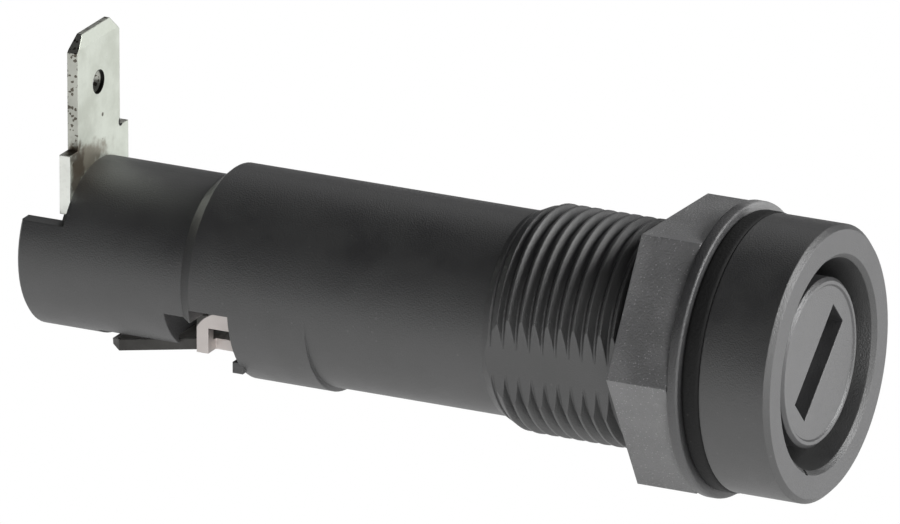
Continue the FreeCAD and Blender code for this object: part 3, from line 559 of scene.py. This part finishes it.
@dataclass(frozen=True)
class MetalFinish:
    """Plated or drawn metal: drifting tone, hairline scratches, dark grains and softened edges."""

    name: str
    bright: Colour
    dull: Colour
    roughness: float = 0.3
    roughness_drift: float = 0.15
    cloud_scale: float = 350.0
    scratch_scale: float = 5000.0
    scratch_stretch: float = 0.05
    scratch_amount: float = 0.5
    scratch_height: float = 0.004
    speck_scale: float = 1800.0
    speck_amount: float = 0.06
    speck_size: float = 0.3
    speck_colour: Colour = (0.12, 0.11, 0.09)
    edge_radius: float = 0.08 * MM
    sheet_normal: Triple = (0.0, 1.0, 0.0)
    # The tone of the sheet's edge faces: raw metal on the rear blade, painted shade on the side blade.
    cut_edge_and_shade: Colour = (0.3, 0.29, 0.25)
    cut_and_shade_share: float = 0.0
    edge_speck_scale: float = 4500.0
    edge_speck_amount: float = 0.0
    edge_speck_size: float = 0.9
    spots: tuple[Spot, ...] = ()

    def build(self, kit: EffectKit) -> bpy.types.Material:
        """Make the material.

        Args:
            kit: The shared effects.

        Returns:
            The new material.
        """
        material, graph, shader = start_material(self.name)
        graph.feed(shader.inputs["Metallic"], 1.0)
        coordinates = graph.node("ShaderNodeTexCoord")
        place = coordinates.outputs["Object"]
        grain = kit.place(graph, Effect.GRAIN, {"Place": place, "Cloud Scale": self.cloud_scale})
        feeds = {
            "Place": place,
            "Scale": self.scratch_scale,
            "Stretch": self.scratch_stretch,
            "Amount": self.scratch_amount,
        }
        scratches = kit.place(graph, Effect.SCRATCHES, feeds)
        dulled = graph.maths("MAXIMUM", grain.outputs["Cloud"], scratches.outputs["Mask"])
        tone = graph.blend(dulled, opaque(self.bright), opaque(self.dull))
        feeds = {"Place": coordinates.outputs["Normal"], "Axis": self.sheet_normal}
        across = kit.place(graph, Effect.FACING, feeds).outputs["Across"]
        # The sheet's edge faces take the edge tone, which is painted shade on some finishes.
        cut_and_shade = graph.maths("MULTIPLY", across, self.cut_and_shade_share)
        tone = graph.blend(cut_and_shade, tone, opaque(self.cut_edge_and_shade))
        feeds = {
            "Place": place,
            "Scale": self.edge_speck_scale,
            "Amount": self.edge_speck_amount,
            "Size": self.edge_speck_size,
        }
        edge_specks = kit.place(graph, Effect.SPECKS, feeds)
        pitted = graph.maths("MULTIPLY", across, edge_specks.outputs["Mask"])
        tone = graph.blend(pitted, tone, opaque(self.speck_colour))
        feeds = {
            "Place": place,
            "Scale": self.speck_scale,
            "Amount": self.speck_amount,
            "Size": self.speck_size,
        }
        specks = kit.place(graph, Effect.SPECKS, feeds)
        tone = graph.blend(specks.outputs["Mask"], tone, opaque(self.speck_colour))
        for spot in self.spots:
            tone = spot.over(graph, kit, place, tone)
        graph.feed(shader.inputs["Base Color"], tone)
        drift = graph.maths("MULTIPLY", dulled, self.roughness_drift)
        graph.feed(shader.inputs["Roughness"], graph.maths("ADD", drift, self.roughness))
        add_relief(graph, shader, scratches.outputs["Height"], self.scratch_height * MM, self.edge_radius)
        return material


@dataclass(frozen=True)
class GlassFinish:
    """Clear drawn glass with a faint haze in its roughness."""

    name: str
    tint: Colour
    roughness: float = 0.03
    haze_scale: float = 500.0
    refraction: float = 1.5

    def build(self, kit: EffectKit) -> bpy.types.Material:
        """Make the material.

        Args:
            kit: The shared effects.

        Returns:
            The new material.
        """
        material, graph, shader = start_material(self.name)
        graph.feed(shader.inputs["Transmission Weight"], 1.0)
        graph.feed(shader.inputs["IOR"], self.refraction)
        place = graph.node("ShaderNodeTexCoord").outputs["Object"]
        grain = kit.place(graph, Effect.GRAIN, {"Place": place, "Cloud Scale": self.haze_scale})
        cloud = grain.outputs["Cloud"]
        graph.feed(shader.inputs["Base Color"], graph.blend(cloud, opaque(self.tint), WHITE))
        haze = graph.maths("MULTIPLY", cloud, self.roughness)
        graph.feed(shader.inputs["Roughness"], graph.maths("ADD", haze, self.roughness))
        return material


Finish = PlasticFinish | MetalFinish | GlassFinish

BODY_PLASTIC = PlasticFinish(
    "body_plastic",
    dark=(0.015, 0.015, 0.0155),
    light=(0.022, 0.0225, 0.022),
    roughness=0.48,
    speck_amount=0.05,
    speck_colour=(0.045, 0.045, 0.044),
    # Painted light: the body's faces towards the knob's end are lighter, as if lit from the front.
    front=(0.052, 0.052, 0.053),
    front_light_share=0.9,
)
NUT_PLASTIC = PlasticFinish(
    "nut_plastic",
    dark=(0.13, 0.13, 0.131),
    light=(0.19, 0.19, 0.191),
    roughness=0.5,
    grain_scale=7000.0,
    grain_height=0.06,
    speck_scale=8000.0,
    speck_amount=0.3,
    speck_size=0.45,
    speck_colour=(0.32, 0.32, 0.32),
)
# Painted highlight: a lighter patch on the washer's top right, where its front face catches the light.
WASHER_TOP_HIGHLIGHT = Spot(
    centre=mm(4.0, 1.35, 9.2),
    radius=2.4 * MM,
    softness=2.2 * MM,
    colour=(0.17, 0.17, 0.17),
    share=0.85,
    stretch=(1.0, 0.6, 1.0),
)
WASHER_PLASTIC = PlasticFinish(
    "washer_plastic",
    dark=(0.016, 0.016, 0.017),
    light=(0.026, 0.026, 0.027),
    roughness=0.46,
    grain_height=0.05,
    speck_scale=6000.0,
    speck_amount=0.12,
    speck_colour=(0.07, 0.07, 0.07),
    spots=(WASHER_TOP_HIGHLIGHT,),
)
SLOT_SHADOW = Spot(
    centre=mm(0.0, -0.75, 0.0),
    radius=4.3 * MM,
    softness=0.6 * MM,
    colour=(0.002, 0.002, 0.002),
    stretch=(1.0, 3.0, 1.0),
)
LEFT_ROUGH_PATCH = Spot(
    centre=mm(-2.6, DISC_FACE, 1.3),
    radius=0.2 * MM,
    softness=0.5 * MM,
    colour=(0.02, 0.02, 0.02),
    share=0.6,
    ragged=2.2 * MM,
    scale=2600.0,
)
RIGHT_ROUGH_PATCH = Spot(
    centre=mm(2.4, DISC_FACE, -0.9),
    radius=0.3 * MM,
    softness=0.5 * MM,
    colour=(0.02, 0.02, 0.02),
    share=0.7,
    ragged=2.6 * MM,
    scale=2600.0,
)
KNOB_PLASTIC = PlasticFinish(
    "knob_plastic",
    dark=(0.014, 0.014, 0.015),
    light=(0.022, 0.022, 0.023),
    roughness=0.42,
    speck_amount=0.05,
    speck_colour=(0.05, 0.05, 0.05),
    # Painted light: the knob's faces towards its front are lighter, as if lit from the front.
    front=(0.076, 0.076, 0.077),
    front_light_share=0.9,
    spots=(SLOT_SHADOW, LEFT_ROUGH_PATCH, RIGHT_ROUGH_PATCH),
)
RETAINER_PLASTIC = PlasticFinish(
    "retainer_plastic", dark=(0.03, 0.03, 0.03), light=(0.045, 0.045, 0.045), roughness=0.5
)
GASKET_RUBBER = PlasticFinish(
    "gasket_rubber",
    dark=(0.006, 0.006, 0.006),
    light=(0.011, 0.011, 0.011),
    roughness=0.7,
    grain_scale=5000.0,
    grain_height=0.05,
    speck_amount=0.03,
    speck_colour=(0.03, 0.03, 0.03),
    edge_radius=0.05 * MM,
    specular=0.25,
)
# Painted shade: the inside wall of the blade's hole is darkened.
HOLE_WALL_SHADE = Spot(
    centre=mm(0.0, BLADE_FACE, 11.8), radius=0.87 * MM, softness=0.02 * MM, colour=(0.02, 0.02, 0.018)
)
# Brownish darker patches on the blade's front face, near its foot and its shoulder.
FOOT_BROWN_PATCH = Spot(
    centre=mm(-1.8, BLADE_FACE, 6.7),
    radius=0.7 * MM,
    softness=1.2 * MM,
    colour=(0.16, 0.13, 0.09),
    share=0.75,
    stretch=(0.5, 1.0, 1.3),
    ragged=2.4 * MM,
)
SHOULDER_BROWN_PATCH = Spot(
    centre=mm(-3.3, BLADE_FACE, 6.0),
    radius=0.6 * MM,
    softness=0.6 * MM,
    colour=(0.11, 0.09, 0.065),
    share=0.85,
    stretch=(1.0, 1.0, 0.4),
    ragged=1.6 * MM,
)
# Painted highlight: a thin bright line along the blade's left shoulder.
SHOULDER_EDGE_HIGHLIGHT = Spot(
    centre=mm(-4.4, SHOULDER_MIDDLE, 5.6),
    radius=0.5 * MM,
    softness=0.1 * MM,
    colour=(0.85, 0.87, 0.82),
    share=0.9,
    stretch=(4.0, 0.8, 0.22),
)
DARK_BURR = Spot(
    centre=mm(3.3, BLADE_FACE, 7.9), radius=0.3 * MM, softness=0.1 * MM, colour=(0.01, 0.01, 0.01)
)
REAR_BLADE_TIN = MetalFinish(
    "rear_blade_tin",
    bright=(0.64, 0.675, 0.605),
    dull=(0.5, 0.525, 0.465),
    roughness=0.34,
    cut_edge_and_shade=(0.42, 0.42, 0.38),
    cut_and_shade_share=0.7,
    edge_speck_amount=0.4,
    spots=(HOLE_WALL_SHADE, FOOT_BROWN_PATCH, SHOULDER_BROWN_PATCH, SHOULDER_EDGE_HIGHLIGHT, DARK_BURR),
)
BRIGHT_LUG = Spot(
    centre=mm(-4.1, 39.1, -4.6), radius=2.5 * MM, softness=0.1 * MM, colour=(0.62, 0.58, 0.56)
)
SIDE_BLADE_TIN = MetalFinish(
    "side_blade_tin",
    bright=(0.78, 0.76, 0.74),
    dull=(0.62, 0.60, 0.58),
    roughness=0.5,
    sheet_normal=(0.0, 0.0, 1.0),
    # Painted shade: the side blade's edges are near black, as if facing a dark room.
    cut_edge_and_shade=(0.03, 0.03, 0.028),
    cut_and_shade_share=0.92,
    spots=(BRIGHT_LUG,),
)
TINNED_BRASS = MetalFinish("tinned_brass", bright=(0.74, 0.77, 0.70), dull=(0.58, 0.60, 0.54))
RIVET_BRASS = MetalFinish("rivet_brass", bright=(0.72, 0.70, 0.60), dull=(0.55, 0.52, 0.42))
SPRING_BRONZE = MetalFinish("spring_bronze", bright=(0.74, 0.62, 0.45), dull=(0.58, 0.47, 0.32))
SPRING_STEEL = MetalFinish(
    "spring_steel", bright=(0.62, 0.62, 0.63), dull=(0.45, 0.45, 0.46), scratch_stretch=1.0
)
NICKEL_CAP = MetalFinish(
    "nickel_cap", bright=(0.82, 0.80, 0.74), dull=(0.68, 0.66, 0.6), roughness=0.16, speck_amount=0.02
)
ELEMENT_WIRE = MetalFinish(
    "element_wire", bright=(0.75, 0.74, 0.70), dull=(0.6, 0.58, 0.55), scratch_stretch=1.0
)
SOLDER = MetalFinish(
    "solder", bright=(0.6, 0.61, 0.62), dull=(0.42, 0.43, 0.44), roughness=0.45, scratch_stretch=1.0
)
FUSE_GLASS = GlassFinish("fuse_glass", tint=(0.93, 0.98, 0.96))


@dataclass
class Workshop:
    """What every sub-assembly needs: the loaded frame, the shared effects and the finishes made so far."""

    frame: dict
    kit: EffectKit = field(default_factory=EffectKit)
    made: dict[str, bpy.types.Material] = field(default_factory=dict)

    def material(self, finish: Finish) -> bpy.types.Material:
        """Make a finish once and give it again after that.

        Args:
            finish: The finish.

        Returns:
            Its material.
        """
        if finish.name not in self.made:
            self.made[finish.name] = finish.build(self.kit)
        return self.made[finish.name]

    def dress(self, node: str, finish: Finish) -> None:
        """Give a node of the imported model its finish.

        Args:
            node: The node's name.
            finish: The finish of all its faces.
        """
        mesh = self.frame["nodes"][node].data
        mesh.materials.clear()
        mesh.materials.append(self.material(finish))
        LOG.info("dressed %s with %s", node, finish.name)

    def stand_in(
        self, piece: bpy.types.Object, node: str, body: str, slot: str, finish: Finish
    ) -> None:
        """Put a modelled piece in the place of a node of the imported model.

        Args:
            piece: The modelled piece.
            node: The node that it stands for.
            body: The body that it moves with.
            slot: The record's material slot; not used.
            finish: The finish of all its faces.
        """
        piece.data.materials.clear()
        piece.data.materials.append(self.material(finish))
        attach(piece, body)
        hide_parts(node)
        LOG.info("modelled %s: %d faces", piece.name, len(piece.data.polygons))


@dataclass(frozen=True)
class RingSection:
    """The rounded section of a ring about the holder's axis, in metres."""

    inner: float
    outer: float
    front: float
    rear: float
    corner: float
    steps: int = 144

    def model(self, name: str) -> bpy.types.Object:
        """Draw the section, round its corners and spin it about the axis.

        Args:
            name: The piece's name.

        Returns:
            The closed ring.
        """
        deselect_all()
        bpy.ops.mesh.primitive_plane_add(size=1.0, rotation=(0.0, math.pi / 2, 0.0))
        piece = bpy.context.object
        piece.name = name
        piece.data.name = name
        bpy.ops.object.transform_apply(location=True, rotation=True, scale=True)
        bpy.ops.object.mode_set(mode="EDIT")
        bpy.ops.mesh.select_all(action="SELECT")
        bpy.ops.transform.resize(value=(1.0, self.rear - self.front, self.outer - self.inner))
        middle = (0.0, (self.front + self.rear) / 2, (self.inner + self.outer) / 2)
        bpy.ops.transform.translate(value=middle)
        bpy.ops.mesh.bevel(offset=self.corner, segments=CORNER_SEGMENTS, affect="VERTICES")
        bpy.ops.mesh.select_all(action="SELECT")
        bpy.ops.mesh.delete(type="ONLY_FACE")
        bpy.ops.mesh.select_all(action="SELECT")
        bpy.ops.mesh.spin(
            steps=self.steps, angle=math.tau, center=(0.0, 0.0, 0.0), axis=(0.0, 1.0, 0.0)
        )
        bpy.ops.mesh.select_all(action="SELECT")
        bpy.ops.mesh.remove_doubles(threshold=WELD_DISTANCE)
        bpy.ops.mesh.normals_make_consistent(inside=False)
        bpy.ops.object.mode_set(mode="OBJECT")
        bpy.ops.object.shade_smooth_by_angle(angle=SMOOTH_ANGLE)
        return piece


@dataclass
class HolderBody:
    """The one-piece moulded body with its bezel, threaded barrel and rear tube."""

    shop: Workshop

    def build(self) -> None:
        """Dress the moulded body."""
        self.shop.dress("holder_body", BODY_PLASTIC)


@dataclass
class PanelHardware:
    """Gasket, washer and nut on the barrel."""

    shop: Workshop
    gasket_corner: float = 0.3 * MM
    washer_corner: float = 0.18 * MM

    def ring_like(self, node: str, corner: float) -> RingSection:
        """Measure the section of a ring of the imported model.

        Args:
            node: The ring's node.
            corner: The radius of its rounded corners.

        Returns:
            The section with the node's own inner and outer radius and its ends.
        """
        low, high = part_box(node)
        vertices = self.shop.frame["nodes"][node].data.vertices
        inner = min(math.hypot(vertex.co.x, vertex.co.z) for vertex in vertices)
        return RingSection(inner, high.x, low.y, high.y, corner)

    def build(self) -> None:
        """Model the gasket and the washer with rounded edges, and dress the nut."""
        gasket = self.ring_like("panel_gasket", self.gasket_corner).model("rubber_gasket")
        self.shop.stand_in(gasket, "panel_gasket", "root", "gasket_rubber", GASKET_RUBBER)
        washer = self.ring_like("panel_washer", self.washer_corner).model("round_washer")
        self.shop.stand_in(washer, "panel_washer", "washer", "washer_plastic", WASHER_PLASTIC)
        self.shop.dress("panel_nut", NUT_PLASTIC)


@dataclass
class FuseCarrier:
    """Knob with its skirt, the cup inside it, the snap ring and the spring."""

    shop: Workshop

    def build(self) -> None:
        """Dress the carrier's pieces."""
        self.shop.dress("carrier_knob", KNOB_PLASTIC)
        self.shop.dress("cup_retainer", RETAINER_PLASTIC)
        self.shop.dress("front_contact_cup", TINNED_BRASS)
        self.shop.dress("carrier_spring", SPRING_STEEL)


@dataclass
class CartridgeFuse:
    """Glass tube, end caps, wire and solder."""

    shop: Workshop

    def build(self) -> None:
        """Dress the fuse's pieces."""
        self.shop.dress("fuse_tube", FUSE_GLASS)
        for end in ("front", "rear"):
            self.shop.dress(f"fuse_cap_{end}", NICKEL_CAP)
            self.shop.dress(f"fuse_solder_{end}", SOLDER)
        self.shop.dress("fuse_element", ELEMENT_WIRE)


@dataclass
class Terminals:
    """Rear blade with its cup and rivet, and side blade with its spring finger and rivet."""

    shop: Workshop

    def build(self) -> None:
        """Dress the metal pieces that carry the current."""
        self.shop.dress("rear_terminal", REAR_BLADE_TIN)
        self.shop.dress("rear_contact_cup", TINNED_BRASS)
        self.shop.dress("rear_rivet", RIVET_BRASS)
        self.shop.dress("side_terminal", SIDE_BLADE_TIN)
        self.shop.dress("contact_finger", SPRING_BRONZE)
        self.shop.dress("side_rivet", RIVET_BRASS)


@dataclass(frozen=True)
class Lamp:
    """One soft square lamp that looks at the object: degrees, metres and watts."""

    name: str
    azimuth: float
    elevation: float
    distance: float
    width: float
    watts: float

    def add(self, target: Vector) -> None:
        """Hang the lamp.

        Args:
            target: The point that it looks at.
        """
        data = bpy.data.lights.new(self.name, "AREA")
        data.shape = "SQUARE"
        data.size = self.width
        data.energy = self.watts
        lamp = bpy.data.objects.new(self.name, data)
        bpy.context.scene.collection.objects.link(lamp)
        look_back(lamp, target, self.azimuth, self.elevation, self.distance)


def towards(azimuth: float, elevation: float) -> Vector:
    """Give the direction of a view or a lamp.

    Args:
        azimuth: Degrees about the vertical, 0 in front of the knob.
        elevation: Degrees above the horizontal.

    Returns:
        The unit vector from the object.
    """
    turn, rise = math.radians(azimuth), math.radians(elevation)
    level = math.cos(rise)
    return Vector((math.sin(turn) * level, -math.cos(turn) * level, math.sin(rise)))


def look_back(
    viewer: bpy.types.Object, target: Vector, azimuth: float, elevation: float, distance: float
) -> None:
    """Put a camera or a lamp in its place, turned to the object.

    Args:
        viewer: The camera or lamp.
        target: The point that it looks at.
        azimuth: Degrees about the vertical, 0 in front of the knob.
        elevation: Degrees above the horizontal.
        distance: Metres from the point.
    """
    direction = towards(azimuth, elevation)
    viewer.location = target + direction * distance
    viewer.rotation_euler = direction.to_track_quat("Z", "Y").to_euler()


@dataclass
class Studio:
    """Camera, pale floor, soft lamps and a dim room, in degrees and metres."""

    azimuth: float = -63.4
    elevation: float = 19.5
    target: Vector = field(default_factory=lambda: Vector((0.80, 24.22, 2.53)) * MM)
    distance: float = 1.4
    sensor: float = 10.0
    frame_width: float = 62.15 * MM
    nearest: float = 10.0 * MM
    farthest: float = 14.0
    floor_size: float = 12.0
    floor_gap: float = 0.02 * MM
    floor_colour: Colour = (0.92, 0.92, 0.92)
    floor_roughness: float = 0.9
    room_colour: Colour = (0.05, 0.05, 0.053)
    lamps: tuple[Lamp, ...] = (
        Lamp("front_lamp", azimuth=18.0, elevation=24.0, distance=1.3, width=0.9, watts=22.0),
        Lamp("low_lamp", azimuth=-56.0, elevation=3.5, distance=1.2, width=0.4, watts=8.0),
        Lamp("far_lamp", azimuth=104.0, elevation=42.0, distance=1.4, width=0.8, watts=2.0),
    )

    def build(self) -> None:
        """Set up camera, floor, lamps and room."""
        self.place_camera()
        self.lay_floor()
        self.light_room()
        for lamp in self.lamps:
            lamp.add(self.target)
        bpy.context.scene.view_settings.view_transform = "Standard"

    def place_camera(self) -> None:
        """Put a camera with a narrow view well away, so that the picture has little perspective."""
        data = bpy.data.cameras.new("camera")
        camera = bpy.data.objects.new("camera", data)
        bpy.context.scene.collection.objects.link(camera)
        look_back(camera, self.target, self.azimuth, self.elevation, self.distance)
        data.sensor_width = self.sensor
        data.lens = self.sensor * self.distance / self.frame_width
        data.clip_start = self.nearest
        data.clip_end = self.farthest
        bpy.context.scene.camera = camera

    def lay_floor(self) -> None:
        """Lay a wide pale floor just under the lowest piece."""
        lowest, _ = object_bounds()
        deselect_all()
        level = lowest[2] - self.floor_gap
        bpy.ops.mesh.primitive_plane_add(size=self.floor_size, location=(0.0, 0.0, level))
        floor = bpy.context.object
        floor.name = "floor"
        floor.data.materials.append(self.floor_material())
        floor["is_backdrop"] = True

    def floor_material(self) -> bpy.types.Material:
        """Make the floor's paint: white to the eye and in reflections, with the object's shadow kept.

        Returns:
            The new material.
        """
        material, graph, shader = start_material("floor_paint")
        material.cycles.emission_sampling = "NONE"
        graph.feed(shader.inputs["Base Color"], opaque(self.floor_colour))
        graph.feed(shader.inputs["Roughness"], self.floor_roughness)
        graph.feed(shader.inputs["Specular IOR Level"], 0.0)
        glow = graph.node("ShaderNodeEmission", {"Color": WHITE, "Strength": 1.0})
        path = graph.node("ShaderNodeLightPath")
        seen = graph.maths("MAXIMUM", path.outputs["Is Camera Ray"], path.outputs["Is Glossy Ray"])
        seen = graph.maths("MAXIMUM", seen, path.outputs["Is Transmission Ray"])
        mixed = graph.node("ShaderNodeMixShader", {0: seen, 1: shader.outputs[0], 2: glow.outputs[0]})
        output = material.node_tree.nodes["Material Output"]
        graph.feed(output.inputs["Surface"], mixed.outputs[0])
        return material

    def light_room(self) -> None:
        """Make the room round the object: dim in reflections, white to the eye."""
        world = bpy.data.worlds.new("room")
        world.use_nodes = True
        graph = Graph(world.node_tree)
        background = world.node_tree.nodes["Background"]
        graph.feed(background.inputs["Strength"], 1.0)
        path = graph.node("ShaderNodeLightPath")
        colour = graph.blend(path.outputs["Is Camera Ray"], opaque(self.room_colour), WHITE)
        graph.feed(background.inputs["Color"], colour)
        bpy.context.scene.world = world


def main() -> None:
    """Build every sub-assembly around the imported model."""
    logging.basicConfig(level=logging.INFO, format="%(name)s: %(message)s")
    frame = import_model()
    shop = Workshop(frame)
    Studio().build()
    for assembly in (HolderBody, PanelHardware, FuseCarrier, CartridgeFuse, Terminals):
        assembly(shop).build()
        LOG.info("finished %s", assembly.__name__)


if __name__ == "__main__":
    main()
